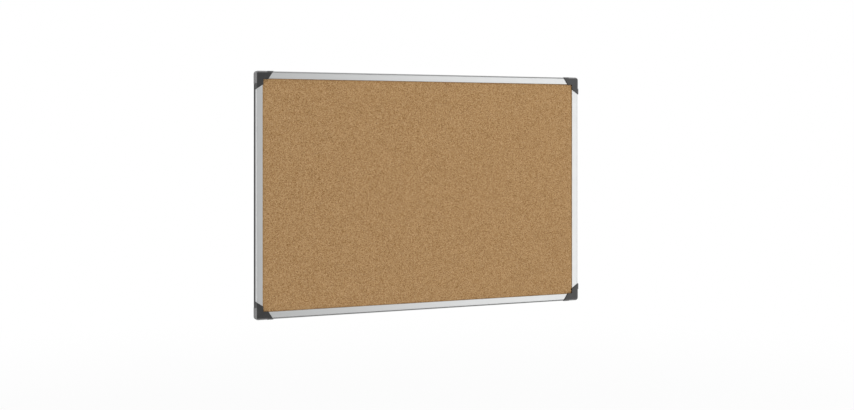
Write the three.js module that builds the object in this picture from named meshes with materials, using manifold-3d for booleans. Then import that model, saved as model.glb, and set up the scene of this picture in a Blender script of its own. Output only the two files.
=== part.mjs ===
// Wall hung cork notice board in a frame of aluminium rails with dark plastic corners.
// Millimetres. X runs to the viewer's right, Y into the wall and Z up.
// The origin is the middle of the board on the plane of the wall.
//
// Each corner has a frame of its own: a and b run inwards along the two outer edges that
// meet there, and d runs from the wall towards the viewer. The rail sections are drawn in
// u, inwards from the board's outer edge, and d.

import * as THREE from 'three';
import { mergeVertices } from 'three/addons/utils/BufferGeometryUtils.js';
import Module from 'manifold-3d';

const wasm = await Module();
wasm.setup();

// Driving dimensions of the board
const boardWidth = 900;
const boardHeight = 600;
const wallGap = 0.4; // the corner brackets hold the rails this far off the wall

// Clearances
const fit = 0.3; // between neighbouring cut or moulded pieces
const sideFit = 0.2; // corner cap to the outside of the rail
const glueLine = 0.1; // adhesive between the layers of the panel

// Panel of cork on softboard, with a paper backing
const corkThick = 1.8;
const coreThick = 8;
const backingThick = 0.6;

// Aluminium rail section
const faceWidth = 18.1;
const lipThick = 1.6;
const lipEdgeRadius = 0.5;
const outerWall = 1.3;
const chamberWidth = 9.5;
const chamberChamfer = 1.5;
const webThick = 1.2;
const floorThick = 1.2;
const grooveDepth = 2;
const flangeThick = 1.2;
const flangeLap = 4.6;
const shoulderWidth = 4.5;
const shoulderDrop = 2.5;
const shoulderSteps = 8;
const lipEdgeSteps = 3;

// Corner bracket
const cornerReach = 30; // the rails stop this far from the board's corner
const tongueLength = 25;
const tongueTaper = 1;
const pocketOffset = 6; // from the pilot hole to the middle of a moulding pocket
const pocketLength = 5.2;
const pocketWidth = 2.6;
const pocketDepth = 4;
const bracketFloor = 3; // under the well for the wall screw's head
const padInset = 1;
const wallHoleRadius = 2.5;
const wellWall = 1.2; // left beside the well
const sinkDepth = 1.7;
const wellSides = 24;

// Corner cap
const capRise = 2.1; // above the face of the rail
const capProud = 0.6; // beyond the outside of the rail
const capLap = 1.3; // over the cork, past the rail's lip
const capRadius = 8;
const capInnerRadius = 0.8;
const capBevel = 0.45;
const capFillet = 4;
const capTip = 15; // the arm's outer edge runs this far past the rail's end
const capSlant = 13.1; // how much shorter the arm is at its inner edge
const skirtWall = 1.6;
const skirtLift = 0.8; // the skirt's lower edge above the wall
const tipSkirt = 5.5; // height of the arm's side, where it lies over the rail
const innerWall = 1;
const filletSteps = 5;
const roundSteps = 8;

// Friction pegs of the cap, and their sockets in the bracket
const pegRadius = 1.5;
const pegChamfer = 0.5;
const pegDepth = 7.5; // how deep a peg goes into its socket
const pegFit = 0.25;
const pegSetback = 5; // from the leg's end to the first peg
const pegSpacing = 8.5;
const pegSides = 12;

// Pan head screws through the rails into the brackets
const screwSetback = 15; // from the rail's end
const shankRadius = 1.3;
const shankLength = 8;
const shankPoint = 1.2;
const headRadius = 2.6;
const headHeight = 1.5;
const headCrown = 0.6;
const headSeat = 0.1;
const recessLength = 2.8;
const recessWidth = 0.6;
const recessDepth = 0.8;
const screwSides = 16;

// Cuts run this far past the faces that they open
const overrun = 2;

// Spacing of the grid that points are drawn to
const grid = 0.0005;

// Heights above the wall, from the back of the rail to the top of the cap
const railBack = wallGap;
const panelBack = railBack + flangeThick + fit;
const coreBack = panelBack + backingThick + glueLine;
const corkBack = coreBack + coreThick + glueLine;
const corkFront = corkBack + corkThick;
const lipBack = corkFront + fit;
const railFront = lipBack + lipThick;
const capUnder = railFront + fit;
const capTop = railFront + capRise;
const chamberFloor = railBack + grooveDepth;
const chamberBottom = chamberFloor + floorThick;

// Places across the rail, inwards from the board's outer edge
const webOuter = outerWall + chamberWidth;
const webInner = webOuter + webThick;
const panelEdge = webInner + fit;
const flangeReach = webInner + flangeLap;
const tongueOuter = outerWall + fit;
const tongueInner = webOuter - fit;
const tongueMiddle = (tongueOuter + tongueInner) / 2;

// Places of the corner pieces, from the board's corner
const skirtInside = skirtWall - capProud;
const legOuter = skirtInside + fit;
const legMiddle = (legOuter + webInner) / 2; // also the place of the wall screw, both ways
const legEnd = cornerReach - fit;
const wellRadius = (webInner - legOuter) / 2 - wellWall;
const roundPlace = capRadius - capProud; // centre of the cap's round corner, both ways
const hollowRadius = capRadius - skirtWall;
const capInner = faceWidth + capLap;
const armTip = cornerReach + capTip;
const armInner = armTip - capSlant;
const screwPlace = cornerReach + screwSetback;
const pegAlong = [cornerReach - pegSetback, cornerReach - pegSetback - pegSpacing];
const pegPlaces = pegAlong.flatMap((along) => [[along, legMiddle], [legMiddle, along]]);

const materials = {
  cork: new THREE.MeshStandardMaterial({ color: 0xa9855c, roughness: 0.9, metalness: 0 }),
  softboard: new THREE.MeshStandardMaterial({ color: 0x8a6e4c, roughness: 0.95, metalness: 0 }),
  backing: new THREE.MeshStandardMaterial({ color: 0xb5966b, roughness: 0.85, metalness: 0 }),
  aluminium: new THREE.MeshStandardMaterial({ color: 0xc9cccd, roughness: 0.35, metalness: 1 }),
  bracket: new THREE.MeshStandardMaterial({ color: 0x2c2d2f, roughness: 0.6, metalness: 0 }),
  cap: new THREE.MeshStandardMaterial({ color: 0x3d3e40, roughness: 0.45, metalness: 0 }),
  screw: new THREE.MeshStandardMaterial({ color: 0xa8aaac, roughness: 0.3, metalness: 1 }),
};

// Turns a closed geometry into a solid that can be joined and cut. Its points are drawn to
// a fine grid, so that faces meant to lie in one plane do.
function solidOf(geometry) {
  geometry.deleteAttribute('normal');
  geometry.deleteAttribute('uv');
  const merged = mergeVertices(geometry);
  return new wasm.Manifold(new wasm.Mesh({
    numProp: 3,
    vertProperties: merged.attributes.position.array.map((value) => Math.round(value / grid) * grid),
    triVerts: new Uint32Array(merged.index.array),
  }));
}

// Turns a solid back into a geometry
function geometryOf(solid) {
  const { vertProperties, triVerts } = solid.getMesh();
  const geometry = new THREE.BufferGeometry();
  geometry.setAttribute('position', new THREE.BufferAttribute(vertProperties, 3));
  geometry.setIndex(new THREE.BufferAttribute(triVerts, 1));
  geometry.computeVertexNormals();
  return geometry;
}

function block(low, high) {
  const [width, depth, height] = high.map((value, axis) => value - low[axis]);
  const middle = high.map((value, axis) => (value + low[axis]) / 2);
  return solidOf(new THREE.BoxGeometry(width, depth, height).translate(...middle));
}

function outlineOf(points) {
  return new THREE.Shape(points.map(([x, y]) => new THREE.Vector2(x, y)));
}

// Points on a quarter of an ellipse about a centre, from one angle to the next quarter
function quarterRound(centre, radiusX, radiusY, startAngle, steps) {
  const points = [];
  for (let step = 0; step <= steps; step += 1) {
    const angle = startAngle + (Math.PI / 2) * (step / steps);
    points.push([centre[0] + radiusX * Math.cos(angle), centre[1] + radiusY * Math.sin(angle)]);
  }
  return points;
}

// An outline in a and b, raised from one height to another
function prism(shape, low, high) {
  return new THREE.ExtrudeGeometry(shape, { depth: high - low, bevelEnabled: false })
    .translate(0, 0, low);
}

// The same with its upper edge rounded; the lower rounding lies below the lower height
function roundedPrism(shape, low, high, radius, steps) {
  return new THREE.ExtrudeGeometry(shape, {
    depth: high - low - radius,
    bevelEnabled: true,
    bevelThickness: radius,
    bevelSize: radius,
    bevelOffset: -radius,
    bevelSegments: steps,
  }).translate(0, 0, low);
}

// A section in u and d, run along a from one place to another
function runAlongA(shape, start, end) {
  const turn = new THREE.Matrix4().makeBasis(
    new THREE.Vector3(0, 1, 0), new THREE.Vector3(0, 0, 1), new THREE.Vector3(1, 0, 0));
  return new THREE.ExtrudeGeometry(shape, { depth: end - start, bevelEnabled: false })
    .applyMatrix4(turn)
    .translate(start, 0, 0);
}

// The same, run along b
function runAlongB(shape, start, end) {
  const turn = new THREE.Matrix4().makeBasis(
    new THREE.Vector3(1, 0, 0), new THREE.Vector3(0, 0, 1), new THREE.Vector3(0, -1, 0));
  return new THREE.ExtrudeGeometry(shape, { depth: end - start, bevelEnabled: false })
    .applyMatrix4(turn)
    .translate(0, end, 0);
}

// A round piece that stands along d at a place in a and b
function turned(profile, sides, place) {
  const points = profile.map(([radius, height]) => new THREE.Vector2(radius, height));
  return solidOf(new THREE.LatheGeometry(points, sides)
    .rotateX(Math.PI / 2)
    .translate(place[0], place[1], 0));
}

function roundHole(radius, low, high, sides, place) {
  return turned([[0, low], [radius, low], [radius, high], [0, high]], sides, place);
}

// Outside of the rail: back flange, web, lip with an eased edge, and the sloped shoulder
function railSection() {
  const lipCentre = [faceWidth - lipEdgeRadius, railFront - lipEdgeRadius];
  const shoulderCentre = [shoulderWidth, railFront - shoulderDrop];
  const section = outlineOf([
    [0, railBack],
    [outerWall, railBack],
    [outerWall, chamberFloor],
    [webOuter, chamberFloor],
    [webOuter, railBack],
    [flangeReach, railBack],
    [flangeReach, railBack + flangeThick],
    [webInner, railBack + flangeThick],
    [webInner, lipBack],
    [faceWidth, lipBack],
    ...quarterRound(lipCentre, lipEdgeRadius, lipEdgeRadius, 0, lipEdgeSteps),
    ...quarterRound(shoulderCentre, shoulderWidth, shoulderDrop, Math.PI / 2, shoulderSteps),
  ]);
  section.holes.push(new THREE.Path(chamberPoints(0).map(([u, d]) => new THREE.Vector2(u, d))));
  return section;
}

// The closed chamber that takes the bracket's tongue, drawn in by a clearance
function chamberPoints(clearance) {
  const outer = outerWall + clearance;
  const inner = webOuter - clearance;
  const low = chamberBottom + clearance;
  const high = lipBack - clearance;
  return [
    [outer, low],
    [inner, low],
    [inner, high],
    [outer + chamberChamfer, high],
    [outer, high - chamberChamfer],
  ];
}

function makeRail(boardLength) {
  const end = boardLength - cornerReach;
  let rail = solidOf(runAlongA(railSection(), cornerReach, end));
  for (const along of [screwPlace, boardLength - screwPlace]) {
    rail = rail.subtract(roundHole(
      shankRadius + fit, chamberFloor - overrun / 2, chamberBottom + overrun / 2,
      screwSides, [along, tongueMiddle]));
  }
  return geometryOf(rail);
}

// The panel's layers are plain sheets of one size, between two heights above the wall
function makePanelLayer(low, high) {
  return new THREE.BoxGeometry(
    boardWidth - 2 * panelEdge, high - low, boardHeight - 2 * panelEdge)
    .translate(0, -(low + high) / 2, 0);
}

// A square in a and b whose corner nearest the board's corner is round
function roundedCorner(radius, far) {
  const start = roundPlace - radius;
  return outlineOf([
    ...quarterRound([roundPlace, roundPlace], radius, radius, Math.PI, roundSteps),
    [far, start],
    [far, far],
    [start, far],
  ]);
}

// One tongue of the bracket, with a tapered end, a pilot hole and two moulding pockets.
// The run functions extrude a section along the tongue and across it, and placeOf turns a
// place along and across it into one in a and b.
function makeTongue(runAlong, runAcross, placeOf) {
  const tip = cornerReach + tongueLength;
  const low = chamberBottom + fit;
  const high = lipBack - fit;
  let tongue = solidOf(runAlong(outlineOf(chamberPoints(fit)), legEnd - overrun, tip));
  const taper = outlineOf([
    [tip - tongueTaper, high],
    [tip + overrun, high - tongueTaper - overrun],
    [tip + overrun, high + overrun],
    [tip - tongueTaper, high + overrun],
  ]);
  tongue = tongue.subtract(solidOf(
    runAcross(taper, tongueOuter - overrun, tongueInner + overrun)));
  tongue = tongue.subtract(roundHole(
    shankRadius + fit, low - overrun, chamberFloor + shankLength + fit,
    screwSides, placeOf(screwPlace, tongueMiddle)));
  for (const middle of [screwPlace - pocketOffset, screwPlace + pocketOffset]) {
    const near = placeOf(middle - pocketLength / 2, tongueMiddle - pocketWidth / 2);
    const far = placeOf(middle + pocketLength / 2, tongueMiddle + pocketWidth / 2);
    tongue = tongue.subtract(block([...near, high - pocketDepth], [...far, high + overrun]));
  }
  return tongue;
}

// Two legs that meet in a round corner, with raised pads behind, a well for the wall screw
// where they meet, sockets for the cap's pegs, and a tongue at the end of each leg
function makeBracket() {
  const floorTop = railBack + bracketFloor;
  const padLow = legOuter + padInset;
  const padHigh = webInner - padInset;
  const padEnd = legEnd - padInset;
  const alongA = (along, across) => [along, across];
  const alongB = (along, across) => [across, along];
  let bracket = block([legOuter, legOuter, railBack], [legEnd, webInner, lipBack]);
  bracket = bracket.add(block([legOuter, legOuter, railBack], [webInner, legEnd, lipBack]));
  bracket = bracket.add(block([padLow, padLow, 0], [padEnd, padHigh, floorTop]));
  bracket = bracket.add(block([padLow, padLow, 0], [padHigh, padEnd, floorTop]));
  bracket = bracket.intersect(solidOf(prism(
    roundedCorner(hollowRadius - fit, cornerReach), -overrun, lipBack + overrun)));
  bracket = bracket.add(makeTongue(runAlongA, runAlongB, alongA));
  bracket = bracket.add(makeTongue(runAlongB, runAlongA, alongB));
  bracket = bracket.subtract(turned([
    [0, -overrun],
    [wallHoleRadius, -overrun],
    [wallHoleRadius, floorTop - sinkDepth],
    [wellRadius, floorTop],
    [wellRadius, lipBack + overrun],
    [0, lipBack + overrun],
  ], wellSides, [legMiddle, legMiddle]));
  for (const place of pegPlaces) {
    bracket = bracket.subtract(roundHole(
      pegRadius + pegFit, lipBack - pegDepth - fit, lipBack + overrun, pegSides, place));
  }
  return geometryOf(bracket);
}

// Outline of the cap seen from the front: two arms with slanted ends and a round corner
function capOutline() {
  const innerCentre = [capInner + capInnerRadius, capInner + capInnerRadius];
  const innerRound = quarterRound(
    innerCentre, capInnerRadius, capInnerRadius, Math.PI, lipEdgeSteps).reverse();
  return outlineOf([
    ...quarterRound([roundPlace, roundPlace], capRadius, capRadius, Math.PI, roundSteps),
    [armTip, -capProud],
    [armInner, capInner],
    ...innerRound,
    [capInner, armInner],
    [-capProud, armTip],
  ]);
}

// A block whose front edges are rounded over, which shapes the cap close to the corner
function filletBlock() {
  const outline = roundedCorner(capRadius, armTip + capFillet);
  return solidOf(roundedPrism(outline, skirtLift, capTop, capFillet, filletSteps));
}

// Space that the rail fills under an arm, with its clearance to the cap
function railSpace() {
  const shoulderCentre = [shoulderWidth, railFront - shoulderDrop];
  return outlineOf([
    [-sideFit, 0],
    [faceWidth + fit, 0],
    [faceWidth + fit, capUnder],
    ...quarterRound(
      shoulderCentre, shoulderWidth + sideFit, shoulderDrop + fit, Math.PI / 2, shoulderSteps),
  ]);
}

function makeCap() {
  const tipBottom = capTop - tipSkirt;
  const far = armTip + overrun;
  const edge = -capProud - overrun;
  let cap = filletBlock().intersect(
    block([edge, edge, skirtLift], [legEnd, legEnd, capTop + overrun]));
  cap = cap.add(block([legEnd, edge, tipBottom], [far, far, capTop + overrun]));
  cap = cap.add(block([edge, legEnd, tipBottom], [far, far, capTop + overrun]));
  cap = cap.intersect(solidOf(roundedPrism(capOutline(), skirtLift, capTop, capBevel, 1)));
  const wallInner = capInner - innerWall;
  const hollow = outlineOf([
    ...quarterRound([roundPlace, roundPlace], hollowRadius, hollowRadius, Math.PI, roundSteps),
    [far, skirtInside],
    [far, wallInner],
    [wallInner, wallInner],
    [wallInner, far],
    [skirtInside, far],
  ]);
  cap = cap.subtract(solidOf(prism(hollow, 0, capUnder)));
  cap = cap.subtract(solidOf(runAlongA(railSpace(), legEnd, far)));
  cap = cap.subtract(solidOf(runAlongB(railSpace(), legEnd, far)));
  cap = cap.subtract(block([wallInner - overrun, wallInner - overrun, 0], [far, far, lipBack]));
  const pegEnd = lipBack - pegDepth;
  for (const place of pegPlaces) {
    const peg = turned([
      [0, pegEnd],
      [pegRadius - pegChamfer, pegEnd],
      [pegRadius, pegEnd + pegChamfer],
      [pegRadius, capUnder + capBevel],
      [0, capUnder + capBevel],
    ], pegSides, place);
    cap = cap.add(peg);
  }
  return geometryOf(cap);
}

// Pan head screw with a cross recess, standing along d with its head at the back
function makeScrew() {
  const headFace = chamberFloor - headSeat;
  const headBack = headFace - headHeight;
  const shankEnd = headFace + shankLength;
  let screw = turned([
    [0, headBack],
    [headRadius - headCrown, headBack],
    [headRadius, headBack + headCrown],
    [headRadius, headFace],
    [shankRadius, headFace],
    [shankRadius, shankEnd - shankPoint],
    [0, shankEnd],
  ], screwSides, [0, 0]);
  const halfLength = recessLength / 2;
  const halfWidth = recessWidth / 2;
  for (const [halfX, halfY] of [[halfLength, halfWidth], [halfWidth, halfLength]]) {
    screw = screw.subtract(block(
      [-halfX, -halfY, headBack - overrun], [halfX, halfY, headBack + recessDepth]));
  }
  return geometryOf(screw);
}

const board = new THREE.Group();
const geometries = {
  bracket: makeBracket(),
  cap: makeCap(),
  screw: makeScrew(),
};

function addMesh(parent, name, geometry, material) {
  const mesh = new THREE.Mesh(geometry, materials[material]);
  mesh.name = name;
  parent.add(mesh);
  return mesh;
}

addMesh(board, 'cork_sheet', makePanelLayer(corkBack, corkFront), 'cork');
addMesh(board, 'softboard_core', makePanelLayer(coreBack, coreBack + coreThick), 'softboard');
addMesh(board, 'backing_sheet', makePanelLayer(panelBack, panelBack + backingThick), 'backing');

// Each corner is the one before it, turned by a quarter; its rail runs along a
const corners = [
  { name: 'bottom_left', rail: 'bottom', lastRail: 'left', sideX: -1, sideZ: -1 },
  { name: 'bottom_right', rail: 'right', lastRail: 'bottom', sideX: 1, sideZ: -1 },
  { name: 'top_right', rail: 'top', lastRail: 'right', sideX: 1, sideZ: 1 },
  { name: 'top_left', rail: 'left', lastRail: 'top', sideX: -1, sideZ: 1 },
];
corners.forEach((corner, quarter) => {
  const group = new THREE.Group();
  group.position.set(corner.sideX * (boardWidth / 2), 0, corner.sideZ * (boardHeight / 2));
  group.rotation.set(Math.PI / 2, 0, (Math.PI / 2) * quarter);
  const railLength = quarter % 2 === 0 ? boardWidth : boardHeight;
  addMesh(group, `rail_${corner.rail}`, makeRail(railLength), 'aluminium');
  addMesh(group, `corner_bracket_${corner.name}`, geometries.bracket, 'bracket');
  addMesh(group, `corner_cap_${corner.name}`, geometries.cap, 'cap');
  addMesh(group, `screw_${corner.name}_in_${corner.rail}_rail`, geometries.screw, 'screw')
    .position.set(screwPlace, tongueMiddle, 0);
  addMesh(group, `screw_${corner.name}_in_${corner.lastRail}_rail`, geometries.screw, 'screw')
    .position.set(tongueMiddle, screwPlace, 0);
  board.add(group);
});

export default board;
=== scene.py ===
import math

import bmesh
import bpy
from mathutils import Matrix, Vector


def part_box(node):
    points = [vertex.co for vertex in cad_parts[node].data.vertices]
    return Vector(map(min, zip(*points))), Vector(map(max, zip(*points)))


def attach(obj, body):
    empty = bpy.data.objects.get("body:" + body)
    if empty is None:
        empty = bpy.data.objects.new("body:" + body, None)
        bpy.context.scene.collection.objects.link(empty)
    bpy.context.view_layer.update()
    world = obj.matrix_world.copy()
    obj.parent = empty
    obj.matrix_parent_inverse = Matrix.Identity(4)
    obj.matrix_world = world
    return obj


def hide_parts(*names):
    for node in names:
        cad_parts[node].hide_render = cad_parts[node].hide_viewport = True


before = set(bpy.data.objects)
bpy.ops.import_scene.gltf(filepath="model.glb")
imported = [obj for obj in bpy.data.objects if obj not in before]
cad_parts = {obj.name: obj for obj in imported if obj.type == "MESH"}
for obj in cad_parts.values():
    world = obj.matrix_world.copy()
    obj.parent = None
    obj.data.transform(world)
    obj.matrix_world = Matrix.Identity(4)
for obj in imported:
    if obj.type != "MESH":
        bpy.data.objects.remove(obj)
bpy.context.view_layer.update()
print("frame loaded with", len(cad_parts), "CAD nodes")

# Shapes are drawn in millimetres and brought to metres when they are put in place.
# A corner has its own frame: a (x) and b (y) run inwards along the two outer edges of the
# board that meet there, and d (z) runs from the wall towards the viewer.
toMetres = Matrix.Scale(0.001, 4)
standUp = Matrix.Rotation(math.pi / 2, 4, "X")
board = {"width": 900, "height": 600}
corners = [
    {"name": "bottom_left", "rail": "bottom", "side": (-1, -1)},
    {"name": "bottom_right", "rail": "right", "side": (1, -1)},
    {"name": "top_right", "rail": "top", "side": (1, 1)},
    {"name": "top_left", "rail": "left", "side": (-1, 1)},
]


def cornerPlace(quarter):
    sideX, sideZ = corners[quarter]["side"]
    corner = (sideX * board["width"] / 2, 0, sideZ * board["height"] / 2)
    turn = Matrix.Rotation(quarter * math.pi / 2, 4, "Z")
    return toMetres @ Matrix.Translation(corner) @ standUp @ turn


def addNode(tree, kind, inputs=None, **settings):
    node = tree.nodes.new(kind)
    for name, value in settings.items():
        setattr(node, name, value)
    for name, value in (inputs or {}).items():
        if isinstance(value, bpy.types.NodeSocket):
            tree.links.new(value, node.inputs[name])
        else:
            node.inputs[name].default_value = value
    return node


def calc(tree, operation, *values):
    return addNode(
        tree, "ShaderNodeMath", dict(enumerate(values)), operation=operation).outputs[0]


def alongZ(tree, length):
    return addNode(tree, "ShaderNodeCombineXYZ", {"Z": length}).outputs[0]


def rampOf(tree, factor, stops):
    node = addNode(tree, "ShaderNodeValToRGB", {"Fac": factor})
    elements = node.color_ramp.elements
    while len(elements) < len(stops):
        elements.new(0.5)
    for element, (position, colour) in zip(elements, stops):
        element.position = position
        element.color = (*colour, 1)
    return node.outputs["Color"]


def mixColours(tree, factor, first, second, blend="MIX"):
    inputs = {0: factor, 6: first, 7: second}
    return addNode(
        tree, "ShaderNodeMix", inputs, data_type="RGBA", blend_type=blend).outputs[2]


def noiseOf(tree, place, scale, detail, **inputs):
    node = addNode(tree, "ShaderNodeTexNoise", {
        "Vector": place, "Scale": scale, "Detail": detail, **inputs})
    return node.outputs["Fac"]


def cellsOf(tree, place, scale, **settings):
    return addNode(tree, "ShaderNodeTexVoronoi", {
        "Vector": place, "Scale": scale}, **settings).outputs


def grey(value):
    return (value, value, value)


# A colour given as it looks on a screen, 0 to 255, as the light value that a shader takes
def screenColour(*levels):
    shares = [level / 255 for level in levels]
    return tuple(
        share / 12.92 if share <= 0.04045 else ((share + 0.055) / 1.055) ** 2.4
        for share in shares)


def rangeOf(tree, value, fromLow, fromHigh, toLow, toHigh):
    node = addNode(tree, "ShaderNodeMapRange", {
        "Value": value, "From Min": fromLow, "From Max": fromHigh, "To Min": toLow,
        "To Max": toHigh}, interpolation_type="SMOOTHSTEP")
    return node.outputs["Result"]


# How far a point lies inside the frame's outer faces, along x and along z, less a margin in
# millimetres
def insetFrom(tree, place, margin):
    parts = addNode(tree, "ShaderNodeSeparateXYZ", {"Vector": place}).outputs
    return [
        calc(tree, "SUBTRACT", (board[side] / 2 - margin) / 1000,
             calc(tree, "ABSOLUTE", parts[axis]))
        for axis, side in (("X", "width"), ("Z", "height"))]


def newMaterial(name, **sockets):
    material = bpy.data.materials.new(name)
    material.use_nodes = True
    shader = material.node_tree.nodes["Principled BSDF"]
    for socketName, value in sockets.items():
        shader.inputs[socketName.replace("_", " ")].default_value = value
    coordinates = addNode(material.node_tree, "ShaderNodeTexCoord").outputs["Object"]
    return material, material.node_tree, shader, coordinates


def addBump(tree, shader, height, strength, distance):
    bump = addNode(tree, "ShaderNodeBump", {
        "Height": height, "Strength": strength, "Distance": distance})
    tree.links.new(bump.outputs["Normal"], shader.inputs["Normal"])


# Points on a quarter of an ellipse about a centre, from one angle to the next quarter
def quarterRound(centre, radiusX, radiusY, startAngle, steps):
    points = []
    for step in range(steps + 1):
        angle = startAngle + math.pi / 2 * step / steps
        points.append((
            centre[0] + radiusX * math.cos(angle), centre[1] + radiusY * math.sin(angle)))
    return points


# The same outline with each sharp corner eased by a small round
def easedOutline(points, radius, steps):
    leastBend = 40  # degrees
    mostOfSide = 0.4  # that a round may take
    eased = []
    count = len(points)
    for index, point in enumerate(points):
        before = points[index - 1]
        after = points[(index + 1) % count]
        toBefore = (before[0] - point[0], before[1] - point[1])
        toAfter = (after[0] - point[0], after[1] - point[1])
        lengths = math.hypot(*toBefore), math.hypot(*toAfter)
        inward = tuple(value / lengths[0] for value in toBefore)
        outward = tuple(value / lengths[1] for value in toAfter)
        cosine = max(-1, min(1, inward[0] * outward[0] + inward[1] * outward[1]))
        bend = 180 - math.degrees(math.acos(cosine))
        if bend < leastBend:
            eased.append(point)
            continue
        reach = min(radius * math.tan(math.radians(bend / 2)), min(lengths) * mostOfSide)
        for step in range(steps + 1):
            share = step / steps
            pull = (1 - share) ** 2 * reach
            push = share ** 2 * reach
            eased.append((
                point[0] + inward[0] * pull + outward[0] * push,
                point[1] + inward[1] * pull + outward[1] * push))
    return eased


# The outline moved inwards by a distance; its points run anticlockwise
def insetOutline(points, distance):
    inset = []
    count = len(points)
    for index, point in enumerate(points):
        before = points[index - 1]
        after = points[(index + 1) % count]
        normals = []
        for start, end in ((before, point), (point, after)):
            length = math.hypot(end[0] - start[0], end[1] - start[1])
            normals.append(((start[1] - end[1]) / length, (end[0] - start[0]) / length))
        (firstX, firstY), (secondX, secondY) = normals
        spread = 1 + firstX * secondX + firstY * secondY
        inset.append((
            point[0] + distance * (firstX + secondX) / spread,
            point[1] + distance * (firstY + secondY) / spread))
    return inset


# A closed mesh through rings of the same number of points
def loftRings(rings):
    shape = bmesh.new()
    loops = [[shape.verts.new(point) for point in ring] for ring in rings]
    for low, high in zip(loops, loops[1:]):
        for index in range(len(low)):
            after = (index + 1) % len(low)
            shape.faces.new((low[index], low[after], high[after], high[index]))
    ends = [shape.faces.new(loops[0]), shape.faces.new(loops[-1])]
    bmesh.ops.triangulate(shape, faces=ends)
    bmesh.ops.recalc_face_normals(shape, faces=shape.faces)
    mesh = bpy.data.meshes.new("shape")
    shape.to_mesh(mesh)
    shape.free()
    return mesh


def prism(points, low, high):
    return loftRings([[(x, y, z) for x, y in points] for z in (low, high)])


# A prism whose upper edge is rounded
def roundedPrism(points, low, high, radius, steps):
    rings = [[(x, y, low) for x, y in points]]
    for step in range(steps + 1):
        angle = math.pi / 2 * step / steps
        ring = insetOutline(points, radius * (1 - math.cos(angle)))
        rings.append([(x, y, high - radius * (1 - math.sin(angle))) for x, y in ring])
    return loftRings(rings)


def block(low, high):
    outline = [(low[0], low[1]), (high[0], low[1]), (high[0], high[1]), (low[0], high[1])]
    return prism(outline, low[2], high[2])


# A section in u and d, run along a or along b
def runSection(points, start, end, alongA):
    if alongA:
        return loftRings([[(along, u, d) for u, d in points] for along in (start, end)])
    return loftRings([[(u, along, d) for u, d in points] for along in (start, end)])


# Rings of points about a place, each at the radius and the height that the profile gives
def turnedRings(profile, sides, place=(0, 0)):
    angles = [2 * math.pi * side / sides for side in range(sides)]
    return [[(
        place[0] + radius * math.cos(angle), place[1] + radius * math.sin(angle), height)
        for angle in angles] for radius, height in profile]


def flatSheet(width, height, level):
    sheet = bpy.data.meshes.new("flatSheet")
    halfWidth, halfHeight = width / 2, height / 2
    sheet.from_pydata([
        (-halfWidth, -halfHeight, level), (halfWidth, -halfHeight, level),
        (halfWidth, halfHeight, level), (-halfWidth, halfHeight, level)], [], [(0, 1, 2, 3)])
    return sheet


def evaluated(holder):
    return bpy.data.meshes.new_from_object(
        holder.evaluated_get(bpy.context.evaluated_depsgraph_get()))


def newHolder(name, data):
    holder = bpy.data.objects.new(name, data)
    bpy.context.scene.collection.objects.link(holder)
    return holder


def combine(base, tool, operation):
    holder = newHolder("base", base)
    toolHolder = newHolder("tool", tool)
    holder.modifiers.new("join", "BOOLEAN")
    holder.modifiers["join"].operation = operation
    holder.modifiers["join"].solver = "MANIFOLD"
    holder.modifiers["join"].object = toolHolder
    result = evaluated(holder)
    bpy.data.objects.remove(holder)
    bpy.data.objects.remove(toolHolder)
    return result


# Runs a Geometry Nodes tree on a mesh and gives the plain mesh that comes out
def growMesh(tree, mesh, values):
    holder = newHolder("grown", mesh)
    modifier = holder.modifiers.new("shape", "NODES")
    modifier.node_group = tree
    for item in tree.interface.items_tree:
        if item.name in values:
            modifier[item.identifier] = values[item.name]
    result = evaluated(holder)
    holder.modifiers.remove(modifier)
    bpy.data.objects.remove(holder)
    return result


def newTree(name, inputs):
    tree = bpy.data.node_groups.new(name, "GeometryNodeTree")
    tree.interface.new_socket(
        name="Geometry", in_out="INPUT", socket_type="NodeSocketGeometry")
    for socketName, kind in inputs.items():
        tree.interface.new_socket(
            name=socketName, in_out="INPUT", socket_type="NodeSocket" + kind)
    tree.interface.new_socket(
        name="Geometry", in_out="OUTPUT", socket_type="NodeSocketGeometry")
    given = addNode(tree, "NodeGroupInput").outputs
    return tree, given


def closeTree(tree, geometry, material):
    real = addNode(tree, "GeometryNodeRealizeInstances", {"Geometry": geometry})
    dressed = addNode(tree, "GeometryNodeSetMaterial", {
        "Geometry": real.outputs["Geometry"], "Material": material})
    addNode(tree, "NodeGroupOutput", {"Geometry": dressed.outputs["Geometry"]})


def joinGeometry(tree, *parts):
    node = addNode(tree, "GeometryNodeJoinGeometry")
    for part in parts:
        tree.links.new(part, node.inputs["Geometry"])
    return node.outputs["Geometry"]


# Clears the joins that cutting leaves in flat faces
def cleanMesh(mesh):
    closeBy = 0.0004  # millimetres
    flatAngle = math.radians(0.3)
    shape = bmesh.new()
    shape.from_mesh(mesh)
    bmesh.ops.remove_doubles(shape, verts=shape.verts, dist=closeBy)
    bmesh.ops.dissolve_limit(
        shape, angle_limit=flatAngle, verts=shape.verts, edges=shape.edges)
    shape.to_mesh(mesh)
    shape.free()


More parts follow.
